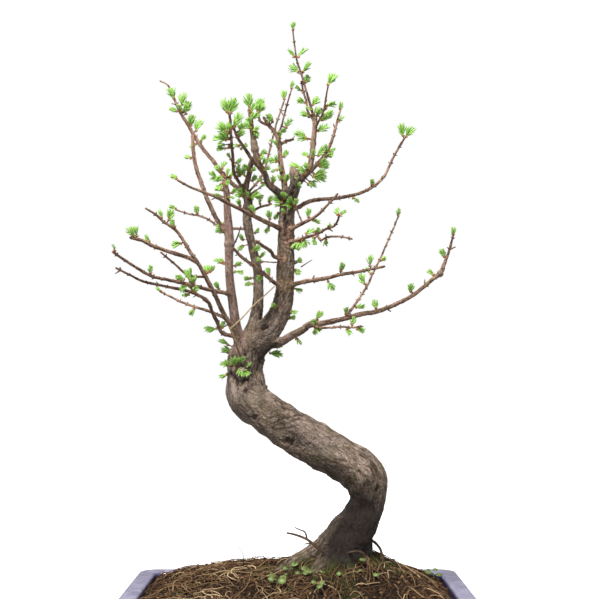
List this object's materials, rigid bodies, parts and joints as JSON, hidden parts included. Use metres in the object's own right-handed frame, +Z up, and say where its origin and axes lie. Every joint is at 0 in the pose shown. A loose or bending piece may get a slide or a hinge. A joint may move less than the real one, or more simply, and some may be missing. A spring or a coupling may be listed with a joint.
{
  "type": "dawn redwood bonsai",
  "caption": "Dawn redwood bonsai with a thick curved trunk, upright stems and small tufts of feathery needles, in a shallow glazed pot with stepped-in corners.",
  "frame": {"origin": "middle of the pot's underside, on the surface that the pot stands on", "axes": "+Z up along the tree, -Y towards the viewer of the front, +X to that viewer's right, along the pot's long side"},
  "size_m": [0.3402, 0.25, 0.6539],
  "materials": {
    "glaze": "lavender-blue gloss glaze, deep cobalt inside the lip",
    "mesh": "black matt plastic mesh",
    "soil": "gritty dark brown soil under a mat of dead tan fibres",
    "bark": "rough grey-brown fissured bark",
    "needles": "soft satin green of young needles",
    "seedling": "satin green leaves"
  },
  "bodies": {
    "root": {"drain_screen_left": "mesh", "drain_screen_right": "mesh", "needles_behind_left_1": "needles", "needles_crown_left_1": "needles", "needles_crown_left_2": "needles", "needles_crown_side_1": "needles", "needles_fork_left_1": "needles", "needles_fork_left_2": "needles", "needles_front_left_1": "needles", "needles_front_twig_1": "needles", "needles_inner_riser_1": "needles", "needles_inner_twig_1": "needles", "needles_knobby_stem_1": "needles", "needles_knobby_stem_2": "needles", "needles_knobby_stem_3": "needles", "needles_leader_1": "needles", "needles_leader_twin_1": "needles", "needles_left_high_1": "needles", "needles_left_long_1": "needles", "needles_left_long_2": "needles", "needles_left_low_1": "needles", "needles_left_low_2": "needles", "needles_left_stem_1": "needles", "needles_left_stem_2": "needles", "needles_left_stub_1": "needles", "needles_low_front_1": "needles", "needles_low_riser_1": "needles", "needles_main_stem_1": "needles", "needles_main_stem_2": "needles", "needles_middle_stem_1": "needles", "needles_right_fork_1": "needles", "needles_right_fork_2": "needles", "needles_right_fork_3": "needles", "needles_right_front_1": "needles", "needles_right_front_low_1": "needles", "needles_right_long_1": "needles", "needles_right_long_2": "needles", "needles_right_low_1": "needles", "needles_right_low_2": "needles", "needles_right_low_3": "needles", "needles_right_middle_1": "needles", "needles_right_riser_1": "needles", "needles_right_short_1": "needles", "needles_tan_twig_1": "needles", "needles_thin_pair_1": "needles", "needles_top_left_1": "needles", "needles_top_left_2": "needles", "needles_top_left_3": "needles", "needles_trunk_1": "needles", "needles_trunk_2": "needles", "needles_trunk_3": "needles", "needles_upright_left_1": "needles", "needles_upright_left_2": "needles", "needles_upright_left_3": "needles", "pot": "glaze", "seedling_1": "seedling", "seedling_2": "seedling", "seedling_3": "seedling", "soil": "soil", "trunk_and_branches": "bark"}
  },
  "joints": []
}
